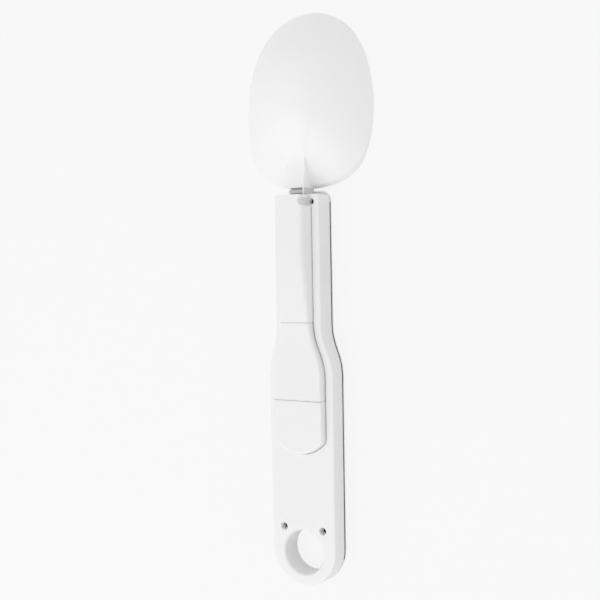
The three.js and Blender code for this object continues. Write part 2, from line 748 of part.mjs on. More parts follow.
function rearShell() {
  const sky = crestNeck + overrun;
  const outer = stack(housing, [
    [runningFit, rearRim],
    [0, rearRim + runningFit],
    ...roundedEdge(sideDraft, () => backRound, shoulderAt),
  ]);
  const hollow = stack(housing, [
    [rearWall, rearRim - overrun],
    [rearWall, (y) => shoulderAt(y) - deckDrop],
  ]);
  const grooveAt = (y) => (y < doorSide ? -doorEndGrooveWidth : -grooveWidth);
  const bed = (z) => stack(raised, [[grooveAt, z], [grooveAt, sky]]);
  const gripOnly = block(-gripHalf, gripHalf, doorEnd - overrun, seamUpper, gripBed, sky);
  const cup = disc(bayRadius + bayWall, bayFloor - bayFloorThickness, gripBed, 0, bayY, roundSteps);
  const ribs = Array.from({ length: ribCount }, (_, i) => {
    const y = firstRibY - i * ribPitch;
    return block(
      -gripHalf + rearWall / 2, gripHalf - rearWall / 2,
      y - ribThickness, y,
      gripDeck - ribDepth, gripDeck + ribThickness,
    );
  });
  const shellWithBosses = joined([
    outer.subtract(hollow),
    cup,
    disc(holeRadius + holeWall, 0, gripDeck + runningFit, 0, holeY, roundSteps),
    ...upperScrewHole(upperWellRadius + wellWall, upperSeat - seatThickness, neckDeck + runningFit),
    ...lowerScrewHole(lowerWellRadius + wellWall, lowerSeat - seatThickness, gripDeck + runningFit),
    ...ribs,
  ]);
  const slotHalf = cellHalfWidth + cellSidePlay;
  const pocketX = bayRadius + contactPocketDepth;
  const legFloor = bayFloor - bayFloorThickness - overrun;
  const [pocketNear, pocketFar] = [bayY - contactSlotHalf, bayY + contactSlotHalf];
  const legY = bayY + baseContactLegY;
  const cellSlot = block(
    -slotHalf, slotHalf,
    cellNear - cellSidePlay - coatLength, raisedTop - endWall,
    neckDeck - overrun, neckBed + overrun,
  );
  const sideLegSlot = block(
    bayRadius + runningFit / 2, pocketX,
    pocketNear, pocketFar,
    legFloor, gripBed + overrun,
  );
  const baseLegSlot = block(
    -contactSlotHalf, contactSlotHalf,
    legY - runningFit, legY + contactThickness + runningFit,
    legFloor, bayFloor + overrun,
  );
  addPiece("rear_shell", cutFrom(shellWithBosses, [
    bed(neckBed),
    bed(gripBed).intersect(gripOnly),
    cellSlot,
    neckOpening(),
    holeCutter(),
    disc(bayRadius, bayFloor, gripBed + overrun, 0, bayY, roundSteps),
    block(0, pocketX, pocketNear, pocketFar, bayFloor, gripBed + overrun),
    sideLegSlot,
    baseLegSlot,
    ...upperScrewHole(upperRecessRadius, neckBed, sky),
    ...upperScrewHole(upperWellRadius, upperSeat, sky),
    ...upperScrewHole(screwShankRadius + runningFit, rearRim, sky),
    ...lowerScrewHole(lowerWellRadius, lowerSeat, sky),
    ...lowerScrewHole(screwShankRadius + runningFit, rearRim, sky),
    ...doorPins(pinRadius + runningFit, gripBed - pinDepth - runningFit, sky),
    ...spinePins(pinRadius + runningFit, neckBed - pinDepth - runningFit, sky),
    ...platePegs(pegRadius + runningFit, gripDeck - overrun, sky),
  ]), white);
}

// The raised back as a solid form and as the hollow under its roof.
const crestRoundAt = (y) => THREE.MathUtils.lerp(
  between(gripCrestRound, neckCrestRound)(y),
  endCrestRound,
  THREE.MathUtils.clamp((y - raisedTop + raisedCorner) / raisedCorner, 0, 1),
);
const raisedForm = stack(raised, [[0, gripBed], ...roundedEdge(raisedDraft, crestRoundAt, crestAt)]);
const raisedHollow = stack(raised, [
  [between(gripCoverWall, neckCoverWall), gripBed - overrun],
  [between(gripCoverWall, neckCoverWall), (y) => crestAt(y) - coverRoof],
]);

function coverSlice(y0, y1, bottom, nearWall, farWall, kept = []) {
  const sky = crestNeck + overrun;
  const slice = raisedForm.intersect(block(-gripHalf, gripHalf, y0, y1, bottom, sky));
  const hollowLength = block(-gripHalf, gripHalf, y0 + nearWall, y1 - farWall, bottom - overrun, sky);
  return slice.subtract(cutFrom(raisedHollow.intersect(hollowLength), kept));
}

// The cover over the load cell, with a wall of its own round each screw recess.
function spineCover() {
  const sky = crestNeck + overrun;
  const recessWalls = upperScrewHole(upperRecessRadius + upperRecessWall, neckBed - overrun, sky);
  const cover = coverSlice(seamUpper + plateGap / 2, raisedTop + overrun, neckBed, endWall, 0, recessWalls);
  const withPins = joined([cover, ...spinePins(pinRadius, neckBed - pinDepth, crestKnee)]);
  const cuts = [neckOpening(), ...upperScrewHole(upperRecessRadius, neckBed - overrun, sky)];
  addPiece("spine_cover", cutFrom(withPins, cuts), white);
}

function middlePlate() {
  const plate = coverSlice(seamLower + doorGap / 2, seamUpper - plateGap / 2, gripBed, endWall, endWall);
  const pegs = platePegs(pegRadius, gripDeck, crestKnee - coverRoof / 2);
  addPiece("middle_plate", joined([plate, ...pegs]), white);
}

function batteryCover() {
  const cover = coverSlice(doorEnd - overrun, seamLower - doorGap / 2, gripBed, 0, -overrun);
  const pins = doorPins(pinRadius, gripBed - pinDepth, crestEnd - coverRoof / 2);
  addPiece("battery_cover", joined([cover, ...pins]), white);
}

function windowShape(inset) {
  const corner = windowCorner - inset * windowCornerShare;
  const path = new THREE.Path();
  const side = windowHalfWidth - inset;
  const [near, far] = [windowNearY - inset, windowFarY + inset];
  path.moveTo(0, near);
  path.lineTo(side - corner, near);
  path.absarc(side - corner, near - corner, corner, quarterTurn, 0, true);
  path.lineTo(side, far + corner);
  path.absarc(side - corner, far + corner, corner, 0, -quarterTurn, true);
  path.lineTo(0, far);
  return withoutRepeats(path.getPoints(windowSteps));
}

const buttonPlaces = [0, 1, 2].map((i) => firstButtonY - i * buttonPitch);
const boardPosts = discPairs(boardScrewHalfSpan, [boardScrewY]);
const boardPins = discPairs(boardPinHalfSpan, [boardPinY]);

function frontShell() {
  const lipInset = rearWall + runningFit;
  const outer = stack(housing, [
    ...[3, 2, 1, 0].map((step) => {
      const angle = (step / 3) * quarterTurn;
      return [frontRound * (1 - Math.cos(angle)), frontRound * (1 - Math.sin(angle))];
    }),
    [0, frontRim],
  ]);
  const lip = stack(housing, [[lipInset, frontRim - overrun], [lipInset, frontRim + lipHeight]]);
  const hollow = stack(housing, [
    [lipInset + lipThickness, frontWall],
    [lipInset + lipThickness, frontRim + lipHeight + overrun],
  ]);
  const lcdNear = windowNearY - lcdMargin + runningFit;
  const lcdFar = windowFarY + lcdMargin - runningFit;
  const lcdSide = lcdHalfWidth + runningFit;
  const frameOuter = block(
    -lcdSide - frameRib, lcdSide + frameRib,
    lcdFar - frameRib, lcdNear + frameRib,
    frontRoot, frontWall + frameRibHeight,
  );
  const frameInner = block(-lcdSide, lcdSide, lcdFar, lcdNear, frontWall, boardBottom);
  const openingRadius = buttonRadius + runningFit;
  const buttonOpening = (y) => disc(openingRadius, -overrun, frontWall + overrun, 0, y, roundSteps);
  const boreEnd = cellBottom - cellScrewBite - runningFit;
  const cellScrewBore = (y) => disc(cellScrewRadius + shankFit, boreEnd, cellBottom + overrun, 0, y);
  const fused = joined([
    outer.add(lip).subtract(hollow),
    frameOuter.subtract(frameInner),
    block(-cellHalfWidth, cellHalfWidth, cellNear, cellNear + pedestalLength, frontRoot, cellBottom),
    ...upperScrewHole(upperPostRadius, frontRoot, upperSeat - seatThickness),
    ...lowerScrewHole(lowerPostRadius, frontRoot, lowerSeat - seatThickness),
    ...boardPosts(boardPostRadius, frontRoot, boardBottom),
    ...boardPins(boardPinRadius, frontRoot, boardBottom),
  ]);
  addPiece("front_shell", cutFrom(fused, [
    neckOpening(),
    disc(holeRadius + holeWall + runningFit, -overrun, frontWall + overrun, 0, holeY, roundSteps),
    stack(windowShape(0), [[0, -overrun], [0, lensInset + lensThickness]]),
    stack(windowShape(windowLedge), [[0, -overrun], [0, frontWall + overrun]]),
    ...buttonPlaces.map(buttonOpening),
    ...nearScrewPlaces().map(cellScrewBore),
    ...upperScrewHole(screwShankRadius + shankFit, upperSeat - screwBite - runningFit, upperSeat),
    ...lowerScrewHole(screwShankRadius + shankFit, lowerSeat - screwBite - runningFit, lowerSeat),
    ...boardPosts(boardScrewRadius + shankFit, frontWall, boardBottom + overrun),
  ]), white);
}

function display() {
  const lens = stack(windowShape(runningFit / 2), [[0, lensInset], [0, lensInset + lensThickness]]);
  addPiece("display_lens", lens, lensTint);
  const [near, far] = [windowNearY - lcdMargin, windowFarY + lcdMargin];
  const lcdTop = frontWall + lcdThickness;
  addPiece("lcd", block(-lcdHalfWidth, lcdHalfWidth, far, near, frontWall, lcdTop), lcdGlass);
  [["upper", near - zebraWidth], ["lower", far]].forEach(([name, y]) => {
    const strip = block(-lcdHalfWidth, lcdHalfWidth, y, y + zebraWidth, lcdTop, boardBottom);
    addPiece(`zebra_${name}`, strip, greyRubber);
  });
}

function circuitBoard() {
  const path = new THREE.Path();
  path.moveTo(0, boardNearY);
  path.lineTo(boardNearHalf, boardNearY);
  path.lineTo(boardHalf, boardShoulderY);
  path.lineTo(boardHalf, boardFarY);
  path.lineTo(0, boardFarY);
  const plate = stack(withoutRepeats(outlineOf(path)), [[0, boardBottom], [0, boardTop]]);
  const screwBores = boardPosts(boardScrewRadius + shankFit, boardBottom - overrun, boardTop + overrun);
  addPiece("circuit_board", cutFrom(plate, screwBores), board);
  const blob = turned(
    [
      [0, boardTop],
      [blobRadius, boardTop],
      [blobRadius * blobWaistShare, boardTop + blobHeight * blobWaistShare],
      [0, boardTop + blobHeight],
    ],
    0, blobY,
  );
  addPiece("chip_blob", blob, epoxy);
  ["left", "right"].forEach((name, i) => {
    const side = 2 * i - 1;
    addPiece(`board_screw_${name}`, screw(
      side * boardScrewHalfSpan, boardScrewY, boardTop, 1, boardTop - frontWall - runningFit,
      boardScrewRadius, boardScrewHeadRadius, boardScrewHeadHeight,
    ), steel);
  });
}

function buttons() {
  ["power", "tare", "unit"].forEach((name, i) => {
    const y = buttonPlaces[i];
    const flange = frontWall + buttonFlangeThickness;
    const cap = turned(
      [
        [0, buttonInset + buttonDish],
        [buttonRadius / 2, buttonInset + buttonDish * buttonDishShare],
        [buttonRadius - buttonDish, buttonInset],
        [buttonRadius, buttonInset + buttonDish],
        [buttonRadius, frontWall],
        [buttonRadius + buttonFlange, frontWall],
        [buttonRadius + buttonFlange, flange],
        [0, flange],
      ],
      0, y, roundSteps / 2,
    );
    addPiece(`button_${name}`, cap, white);
    const bodyBottom = boardBottom - switchHeight;
    const plunger = disc(plungerRadius, flange + buttonTravel, boardBottom - switchHeight / 2, 0, y);
    const body = block(-switchHalf, switchHalf, y - switchHalf, y + switchHalf, bodyBottom, boardBottom);
    addPiece(`tact_switch_${name}`, body.add(plunger), greyRubber);
  });
}

function battery() {
  const low = bayFloor + contactThickness;
  const coin = turned(
    [
      [0, low],
      [coinCapRadius, low],
      [coinCapRadius, low + coinCapStep],
      [coinRadius - coinEdge, low + coinCapStep],
      [coinRadius, low + coinCapStep + coinEdge],
      [coinRadius, low + coinHeight - coinEdge],
      [coinRadius - coinEdge, low + coinHeight],
      [0, low + coinHeight],
    ],
    0, bayY, roundSteps,
  );
  addPiece("coin_cell", coin, steel);
  const legY = bayY + baseContactLegY;
  const plate = block(
    -contactHalfWidth, contactHalfWidth,
    bayY - baseContactHalfLength, legY + contactThickness,
    bayFloor, low,
  );
  const leg = block(-contactHalfWidth, contactHalfWidth, legY, legY + contactThickness, boardTop, low);
  addPiece("contact_negative", plate.add(leg), steel);
  const side = bayRadius + sideContactGap;
  const strip = block(
    side, side + contactThickness,
    bayY - contactHalfWidth, bayY + contactHalfWidth,
    boardTop, sideContactTop,
  );
  const dimple = block(
    coinRadius + shankFit, side + contactThickness,
    bayY - contactHalfWidth / 2, bayY + contactHalfWidth / 2,
    sideContactTop - contactThickness * 2, sideContactTop,
  );
  addPiece("contact_positive", strip.add(dimple), steel);
}

function housingScrews() {
  ["left", "right"].forEach((name, i) => {
    const side = 2 * i - 1;
    addPiece(`neck_screw_${name}`, screw(
      side * upperScrewHalfSpan, upperScrewY, upperSeat, 1, screwBite,
      screwShankRadius, neckHeadRadius, screwHeadHeight,
    ), blackSteel);
    addPiece(`tail_screw_${name}`, screw(
      side * lowerScrewHalfSpan, lowerScrewY, lowerSeat, 1, screwBite,
      screwShankRadius, tailHeadRadius, screwHeadHeight,
    ), blackSteel);
  });
}

bowlPiece();
loadCell();
addPiece("gauge_ribbon", ribbon(), greyRubber);
rearShell();
spineCover();
middlePlate();
batteryCover();
frontShell();
display();
circuitBoard();
buttons();
battery();
housingScrews();

export default spoon;
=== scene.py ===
"""Digital measuring spoon lying face down: its fine moulded forms, finishes, light and camera."""

import logging
import math
from dataclasses import dataclass
from enum import Enum
from typing import Callable, Union

import bmesh
import bpy
from mathutils import Matrix, Vector


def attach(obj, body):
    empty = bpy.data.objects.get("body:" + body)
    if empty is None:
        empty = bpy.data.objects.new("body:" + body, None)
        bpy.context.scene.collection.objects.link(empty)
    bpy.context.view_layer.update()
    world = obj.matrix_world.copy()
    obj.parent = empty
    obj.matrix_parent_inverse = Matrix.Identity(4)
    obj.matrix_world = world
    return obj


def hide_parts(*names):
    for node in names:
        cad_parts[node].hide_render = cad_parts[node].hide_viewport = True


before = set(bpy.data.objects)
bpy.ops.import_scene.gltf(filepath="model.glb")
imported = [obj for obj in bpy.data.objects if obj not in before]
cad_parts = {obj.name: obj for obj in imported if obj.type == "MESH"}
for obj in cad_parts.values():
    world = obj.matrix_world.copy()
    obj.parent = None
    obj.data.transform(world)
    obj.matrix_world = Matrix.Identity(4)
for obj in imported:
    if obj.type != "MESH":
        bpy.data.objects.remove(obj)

MM = 0.001
OVERRUN = 1.0
DRUM_STEPS = 48
WELD = 0.001
FLAT_ANGLE = 0.6
EDGE_ANGLE = 40
EDGE_SEGMENTS = 2
LOG = logging.getLogger("measuring_spoon")
Colour = tuple[float, float, float]
Point = tuple[float, float, float]
Reshape = Callable[["bpy.types.Object"], None]


class Body(Enum):
    """The bodies that pieces of the housing and its door ride on."""

    HOUSING = "housing"
    DOOR = "battery_cover"


class Cut(Enum):
    """What a boolean does with its second solid."""

    JOIN = "UNION"
    REMOVE = "DIFFERENCE"


def grey(level: float) -> Colour:
    """Return a screen grey in linear light.

    Args:
        level: The grey from 0 to 255.

    Returns:
        The linear colour.
    """
    share = level / 255
    linear = share / 12.92 if share <= 0.04045 else ((share + 0.055) / 1.055) ** 2.4
    return (linear, linear, linear)


def tint(colour: Colour, by: Colour) -> Colour:
    """Return a colour with each part scaled."""
    return (colour[0] * by[0], colour[1] * by[1], colour[2] * by[2])


# Shader expressions


class Wire:
    """A shader socket that arithmetic is written with."""

    def __init__(self, shader: "Shader", socket: bpy.types.NodeSocket) -> None:
        """Keep the shader and the socket."""
        self.shader = shader
        self.socket = socket

    def combine(self, operation: str, first: "Term", second: "Term") -> "Wire":
        """Return a Math node's result for two terms."""
        return self.shader.add("ShaderNodeMath", {"operation": operation}, {0: first, 1: second})

    def __add__(self, other: "Term") -> "Wire":
        """Return the sum."""
        return self.combine("ADD", self, other)

    def __radd__(self, other: "Term") -> "Wire":
        """Return the sum, the other way round."""
        return self.combine("ADD", other, self)

    def __sub__(self, other: "Term") -> "Wire":
        """Return the difference."""
        return self.combine("SUBTRACT", self, other)

    def __rsub__(self, other: "Term") -> "Wire":
        """Return the difference, the other way round."""
        return self.combine("SUBTRACT", other, self)

    def __mul__(self, other: "Term") -> "Wire":
        """Return the product."""
        return self.combine("MULTIPLY", self, other)

    def __rmul__(self, other: "Term") -> "Wire":
        """Return the product, the other way round."""
        return self.combine("MULTIPLY", other, self)

    def above(self, limit: float) -> "Wire":
        """Return 1 where the value is over a limit, and 0 elsewhere."""
        return self.combine("GREATER_THAN", self, limit)

    def highest(self, other: "Term") -> "Wire":
        """Return the higher of two values."""
        return self.combine("MAXIMUM", self, other)


Term = Union[Wire, float, Colour]


class Shader:
    """The node tree of a material or a world under construction."""

    def __init__(self, owner: Union[bpy.types.Material, bpy.types.World]) -> None:
        """Start an empty tree.

        Args:
            owner: The new material or world that the tree belongs to.
        """
        self.owner = owner
        owner.use_nodes = True
        self.tree = owner.node_tree
        self.tree.nodes.clear()

    @classmethod
    def named(cls, name: str) -> "Shader":
        """Return the shader of a new material."""
        return cls(bpy.data.materials.new(name))

    def add(self, kind: str, settings: dict, sockets: dict, out: Union[int, str] = 0) -> Wire:
        """Add a node.

        Args:
            kind: The node's type.
            settings: Its settings, with a ramp's stops under "stops".
            sockets: Values or wires by input name or number.
            out: The output to return.

        Returns:
            The wire of that output.
        """
        node = self.tree.nodes.new(kind)
        for key, value in settings.items():
            if key == "stops":
                self.set_stops(node.color_ramp, value)
            else:
                setattr(node, key, value)
        for key, value in sockets.items():
            self.join(value, node.inputs[key])
        return Wire(self, node.outputs[out])

    def set_stops(self, ramp: bpy.types.ColorRamp, stops: list[tuple[float, float]]) -> None:
        """Give a ramp its stops.

        Args:
            ramp: The ramp of a new node.
            stops: Places and greys from 0 to 1.
        """
        while len(ramp.elements) < len(stops):
            ramp.elements.new(1)
        for element, (place, value) in zip(ramp.elements, stops):
            element.position = place
            element.color = (value, value, value, 1)

    def join(self, value: Term, socket: bpy.types.NodeSocket) -> None:
        """Link a wire to a socket, or set a plain value on it.

        Args:
            value: The wire, number or colour.
            socket: The input that takes it.
        """
        if isinstance(value, Wire):
            self.tree.links.new(value.socket, socket)
        elif isinstance(value, tuple) and socket.type == "RGBA":
            socket.default_value = (*value, 1)
        else:
            socket.default_value = value

    def places(self) -> Wire:
        """Return the object's own coordinates in metres."""
        return self.add("ShaderNodeTexCoord", {}, {}, "Object")

    def axes(self) -> tuple[Wire, Wire, Wire]:
        """Return the three coordinates in metres, each by itself."""
        split = {"Vector": self.places()}
        return tuple(self.add("ShaderNodeSeparateXYZ", {}, split, axis) for axis in "XYZ")

    def stretched(self, scale: Point) -> Wire:
        """Return the coordinates scaled along each axis."""
        return self.add("ShaderNodeMapping", {}, {"Vector": self.places(), "Scale": scale})

    def noise(self, size: float, detail: float = 2, at: Union[Wire, None] = None) -> Wire:
        """Add a noise from 0 to 1.

        Args:
            size: How far across its blotches are, in millimetres.
            detail: The number of its finer layers.
            at: The coordinates, which are the object's own where none are given.

        Returns:
            The noise.
        """
        sockets = {"Vector": at or self.places(), "Scale": 1 / (size * MM), "Detail": detail}
        return self.add("ShaderNodeTexNoise", {}, sockets, "Fac")

    def mixed(self, share: Term, first: Term, second: Term) -> Wire:
        """Return a colour between two colours."""
        return self.add("ShaderNodeMix", {"data_type": "RGBA"}, {0: share, 6: first, 7: second}, 2)

    def bump(self, height: Wire, depth: float) -> Wire:
        """Return a normal from a height whose range of 1 stands for a depth in millimetres."""
        sockets = {"Height": height, "Distance": depth * MM, "Strength": 1.0}
        return self.add("ShaderNodeBump", {}, sockets, "Normal")

    def seen_rays(self) -> Wire:
        """Tell apart the rays that show the backdrop.

        Returns:
            1 on rays from the camera, from gloss and through glass, and 0 on others.
        """
        names = ("Is Camera Ray", "Is Glossy Ray", "Is Transmission Ray")
        camera, gloss, glass = (self.add("ShaderNodeLightPath", {}, {}, name) for name in names)
        return camera.highest(gloss).highest(glass)

    def finish(self, surface: Wire, kind: str = "ShaderNodeOutputMaterial") -> bpy.types.Material:
        """Send a surface to the output.

        Args:
            surface: The surface or the sky.
            kind: The output's type.

        Returns:
            The material or world.
        """
        output = self.tree.nodes.new(kind)
        self.tree.links.new(surface.socket, output.inputs["Surface"])
        return self.owner

    def principled(self, sockets: dict) -> bpy.types.Material:
        """Return the material with one principled surface."""
        return self.finish(self.add("ShaderNodeBsdfPrincipled", {}, sockets))


# Finishes


@dataclass(frozen=True)
class MouldedPlastic:
    """Injection moulded plastic with a fine spark texture and faint flow clouds."""

    name: str
    colour: Colour
    roughness: float
    grain: float = 0.3
    grain_depth: float = 0.0035
    grain_share: float = 0.12
    grain_rough: float = 0.07
    cloud: float = 14
    cloud_share: float = 0.35
    cloud_rough: float = 0.05
    shaded: Colour = (0.975, 0.977, 0.98)
    ior: float = 1.49
    glow: float = 0.4
    glow_reach: float = 1.4
    glow_colour: Colour = (1.0, 0.97, 0.93)

    def shade(self, shader: Shader, colour: Wire) -> Wire:
        """Return the colour as it is; a kind of plastic with painted shade adds it here."""
        return colour

    def material(self) -> bpy.types.Material:
        """Make the material.

        Returns:
            The plastic as a material.
        """
        shader = Shader.named(self.name)
        clouds = shader.noise(self.cloud, 3)
        texture = shader.noise(self.grain, 3)
        uneven = clouds * self.cloud_share + texture * self.grain_share
        colour = shader.mixed(uneven, self.colour, tint(self.colour, self.shaded))
        return shader.principled(
            {
                "Base Color": self.shade(shader, colour),
                "Roughness": self.roughness + texture * self.grain_rough + clouds * self.cloud_rough,
                "IOR": self.ior,
                "Subsurface Weight": self.glow,
                "Subsurface Radius": self.glow_colour,
                "Subsurface Scale": self.glow_reach * MM,
                "Normal": shader.bump(texture, self.grain_depth),
            }
        )


@dataclass(frozen=True)
class RimShadedPlastic(MouldedPlastic):
    """Moulded plastic with painted shade on its rim, standing for the dark of a gap, but not at its neck
    end or its tail end.
    """

    # the colour of the painted shade that stands for the gap's shadow on the rim
    painted_rim_shade: Colour = (0.06, 0.06, 0.06)
    rim: float = 2.25
    span: tuple[float, float] = (-105, 39)

    def shade(self, shader: Shader, colour: Wire) -> Wire:
        """Paint the gap's shade onto the rim.

        Args:
            shader: The shader that the colour is in.
            colour: The plastic's own colour.

        Returns:
            The colour, with painted shade over the rim's height and between the span's ends.
        """
        _, along, up = shader.axes()
        tail, neck = self.span
        between = along.above(tail * MM) * (1 - along.above(neck * MM))
        # painted shade: the rim above its height is darkened between the span's ends to stand for the
        # shadow in the gap between the shells
        return shader.mixed(up.above(self.rim * MM) * between, colour, self.painted_rim_shade)


@dataclass(frozen=True)
class StemShadedPlastic(MouldedPlastic):
    """Gloss plastic with painted shade between two places along the stem, standing for the shadow in the
    gap between the bowl and the handle, except on the corners of its top.
    """

    grain: float = 0.5
    grain_depth: float = 0.0015
    cloud: float = 20
    glow: float = 0.2
    glow_reach: float = 1.2
    # the colour of the painted shade on the stem where it leaves the handle
    painted_stem_shade: Colour = grey(216)
    span: tuple[float, float] = (41.6, 44.7)
    corner: float = 3.3
    corner_height: float = 10.9

    def shade(self, shader: Shader, colour: Wire) -> Wire:
        """Paint shade onto the stem.

        Args:
            shader: The shader that the colour is in.
            colour: The plastic's own colour.

        Returns:
            The colour, with painted shade between the span's ends.
        """
        across, along, up = shader.axes()
        near, far = self.span
        behind = 1 - along.above(far * MM)
        flank = across.above(self.corner * MM).highest(1 - across.above(-self.corner * MM))
        # painted shade on the stem between the span's ends; the top corners are left out of it and keep the
        # plastic's own white
        stem_shade_share = along.above(near * MM) * behind * (1 - flank * up.above(self.corner_height * MM))
        return shader.mixed(stem_shade_share, colour, self.painted_stem_shade)


@dataclass(frozen=True)
class DrawnMetal:
    """Metal with fine lines left by the tool, in one direction."""

    name: str
    colour: Colour
    roughness: float
    lines: Point = (1, 1, 1)
    line_size: float = 0.12
    line_depth: float = 0.002
    line_share: float = 0.3
    line_rough: float = 0.12
    stain: float = 3
    stain_share: float = 0.4
    stain_rough: float = 0.06
    shaded: Colour = (0.8, 0.8, 0.81)

    def material(self) -> bpy.types.Material:
        """Make the material.

        Returns:
            The metal as a material.
        """
        shader = Shader.named(self.name)
        lines = shader.noise(self.line_size, 2, shader.stretched(self.lines))
        stains = shader.noise(self.stain, 3)
        uneven = lines * self.line_share + stains * self.stain_share
        return shader.principled(
            {
                "Base Color": shader.mixed(uneven, self.colour, tint(self.colour, self.shaded)),
                "Metallic": 1.0,
                "Roughness": self.roughness + lines * self.line_rough + stains * self.stain_rough,
                "Normal": shader.bump(lines, self.line_depth),
            }
        )


@dataclass(frozen=True)
class CoatedSurface:
    """A dull non-metal such as rubber, epoxy, silicone or a switch body, with fine pits."""

    name: str
    colour: Colour
    roughness: float
    pit_size: float = 0.4
    pit_depth: float = 0.01
    pit_rough: float = 0.1
    shaded: Colour = (0.75, 0.75, 0.76)

    def material(self) -> bpy.types.Material:
        """Make the material.

        Returns:
            The surface as a material.
        """
        shader = Shader.named(self.name)
        pits = shader.noise(self.pit_size, 4)
        return shader.principled(
            {
                "Base Color": shader.mixed(pits, self.colour, tint(self.colour, self.shaded)),
                "Roughness": self.roughness + pits * self.pit_rough,
                "Normal": shader.bump(pits, self.pit_depth),
            }
        )


@dataclass(frozen=True)
class ClearPlastic:
    """The clear window, with its faint moulding ripple."""

    name: str
    colour: Colour
    roughness: float = 0.03
    ior: float = 1.49
    ripple: float = 6
    ripple_depth: float = 0.004

    def material(self) -> bpy.types.Material:
        """Make the material.

        Returns:
            The clear plastic as a material.
        """
        shader = Shader.named(self.name)
        return shader.principled(
            {
                "Base Color": self.colour,
                "Roughness": self.roughness,
                "Transmission Weight": 1.0,
                "IOR": self.ior,
                "Normal": shader.bump(shader.noise(self.ripple, 1), self.ripple_depth),
            }
        )


@dataclass(frozen=True)
class SegmentGlass:
    """The grey-green reflective glass of the display."""

    name: str
    colour: Colour
    roughness: float = 0.22
    grain: float = 0.15
    grain_share: float = 0.3
    grain_rough: float = 0.05
    drift: float = 9
    drift_share: float = 0.5
    shaded: Colour = (0.88, 0.9, 0.86)

    def material(self) -> bpy.types.Material:
        """Make the material.

        Returns:
            The glass as a material.
        """
        shader = Shader.named(self.name)
        grain = shader.noise(self.grain, 2)
        uneven = grain * self.grain_share + shader.noise(self.drift, 1) * self.drift_share
        colour = shader.mixed(uneven, self.colour, tint(self.colour, self.shaded))
        rough = self.roughness + grain * self.grain_rough
        return shader.principled({"Base Color": colour, "Roughness": rough})


@dataclass(frozen=True)
class SolderMask:
    """A circuit board: green mask over copper tracks with tinned pads."""

    name: str
    colour: Colour
    copper: Colour = (0.05, 0.22, 0.09)
    pads: Colour = (0.62, 0.62, 0.6)
    roughness: float = 0.5
    pad_smooth: float = 0.2
    pad_metal: float = 0.9
    track_pitch: float = 1.3
    track_way: Point = (1, 0.12, 0)
    track_limit: float = 0.56
    pad_pitch: float = 2.6
    pad_random: float = 0.55
    pad_limit: float = 0.14
    depth: float = 0.03

    def material(self) -> bpy.types.Material:
        """Make the material.

        Returns:
            The board as a material.
        """
        shader = Shader.named(self.name)
        across = shader.stretched(self.track_way)
        tracks = shader.noise(self.track_pitch, 1, across).above(self.track_limit)
        scale = 1 / (self.pad_pitch * MM)
        sockets = {"Vector": shader.places(), "Scale": scale, "Randomness": self.pad_random}
        spots = 1 - shader.add("ShaderNodeTexVoronoi", {}, sockets, "Distance").above(self.pad_limit)
        masked = shader.mixed(tracks, self.colour, self.copper)
        return shader.principled(
            {
                "Base Color": shader.mixed(spots, masked, self.pads),
                "Roughness": self.roughness - spots * self.pad_smooth,
                "Metallic": spots * self.pad_metal,
                "Normal": shader.bump(tracks.highest(spots), self.depth),
            }
        )


@dataclass(frozen=True)
class FlatRibbon:
    """Film with parallel conductors along it."""

    name: str
    colour: Colour
    conductor: Colour = (0.45, 0.3, 0.12)
    pitch: float = 0.4
    wave_turns: float = 20
    edges: tuple[float, float] = (0.42, 0.58)
    roughness: float = 0.4
    conductor_rough: float = 0.1
    depth: float = 0.02

    def material(self) -> bpy.types.Material:
        """Make the material.

        Returns:
            The ribbon as a material.
        """
        shader = Shader.named(self.name)
        sockets = {"Vector": shader.places(), "Scale": math.tau / (self.pitch * MM) / self.wave_turns}
        wave = shader.add("ShaderNodeTexWave", {"bands_direction": "X"}, sockets, "Fac")
        low, high = self.edges
        stripes = shader.add("ShaderNodeValToRGB", {"stops": [(low, 0), (high, 1)]}, {"Fac": wave})
        return shader.principled(
            {
                "Base Color": shader.mixed(stripes, self.colour, self.conductor),
                "Roughness": self.roughness + stripes * self.conductor_rough,
                "Normal": shader.bump(stripes, self.depth),
            }
        )


# Mesh building


def piece_from(name: str, points: list[Point], faces: list[tuple[int, ...]]) -> bpy.types.Object:
    """Make an object.

    Args:
        name: The name of the object and its mesh.
        points: Its points in millimetres.
        faces: Its faces as numbers of points.

    Returns:
        The new object in the scene.
    """
    mesh = bpy.data.meshes.new(name)
    mesh.from_pydata([tuple(value * MM for value in point) for point in points], [], faces)
    mesh.update()
    return shown(name, mesh)


def shown(name: str, data: bpy.types.ID) -> bpy.types.Object:
    """Put a mesh, a lamp or a lens into the scene.

    Args:
        name: The new object's name.
        data: What it shows.

    Returns:
        The new object.
    """
    piece = bpy.data.objects.new(name, data)
    bpy.context.scene.collection.objects.link(piece)
    return piece


def settle(piece: bpy.types.Object) -> None:
    """Apply a piece's modifiers to its own mesh.

    Args:
        piece: The piece, which loses its modifiers.
    """
    graph = bpy.context.evaluated_depsgraph_get()
    mesh = bpy.data.meshes.new_from_object(piece.evaluated_get(graph))
    piece.modifiers.clear()
    piece.data = mesh


def carve(piece: bpy.types.Object, other: bpy.types.Object, cut: Cut) -> bpy.types.Object:
    """Join another solid to a piece or remove it from the piece.

    Args:
        piece: The piece that changes.
        other: The other solid, which is used up.
        cut: What is done with it.

    Returns:
        The piece.
    """
    boolean = piece.modifiers.new("cut", "BOOLEAN")
    boolean.operation = cut.value
    boolean.solver = "EXACT"
    boolean.object = other
    settle(piece)
    bpy.data.objects.remove(other)
    return piece


def block(low: Point, high: Point) -> bpy.types.Object:
    """Make a box.

    Args:
        low: Its lowest corner in millimetres.
        high: Its highest corner in millimetres.

    Returns:
        The box.
    """
    points = [(x, y, z) for z in (low[2], high[2]) for y in (low[1], high[1]) for x in (low[0], high[0])]
    faces = [(0, 2, 3, 1), (4, 5, 7, 6), (0, 1, 5, 4), (2, 6, 7, 3), (0, 4, 6, 2), (1, 3, 7, 5)]
    return piece_from("block", points, faces)


